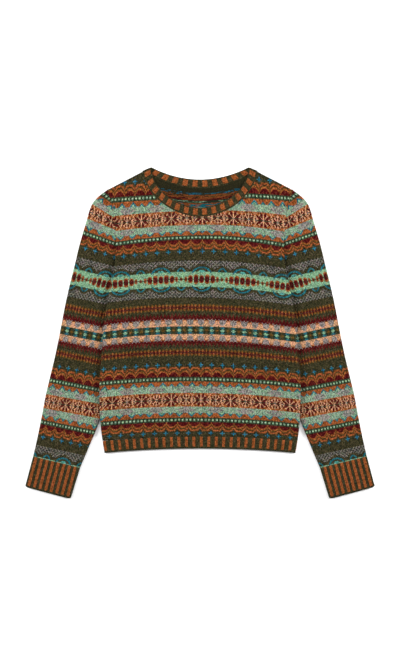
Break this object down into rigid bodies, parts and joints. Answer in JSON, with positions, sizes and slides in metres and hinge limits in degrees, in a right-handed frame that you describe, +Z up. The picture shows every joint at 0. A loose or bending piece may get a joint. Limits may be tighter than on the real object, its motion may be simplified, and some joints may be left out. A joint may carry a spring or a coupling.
{
  "type": "fair isle jumper",
  "caption": "Fair isle jumper with a crew neck and long sleeves, laid flat with its front up and both sleeves drawn in under the body.",
  "frame": {"origin": "middle of the garment's outline, on the surface it lies on", "axes": "+X across the garment to its sleeve on the right of the picture, +Y to the neck, +Z up off the surface"},
  "size_m": [0.7164, 0.679, 0.0098],
  "materials": {
    "fair_isle_knit": "matt, slightly hairy",
    "stranded_inside": "matt, slightly hairy",
    "corrugated_rib": "matt, slightly hairy",
    "neckband_rib": "matt, slightly hairy"
  },
  "bodies": {
    "root": {"front": "fair_isle_knit", "back": "fair_isle_knit", "hem_rib_front": "corrugated_rib", "hem_rib_back": "corrugated_rib", "neckband_front": "neckband_rib", "neckband_back": "neckband_rib", "sleeve_left": "fair_isle_knit", "sleeve_right": "fair_isle_knit", "cuff_left": "corrugated_rib", "cuff_right": "corrugated_rib"}
  },
  "joints": []
}
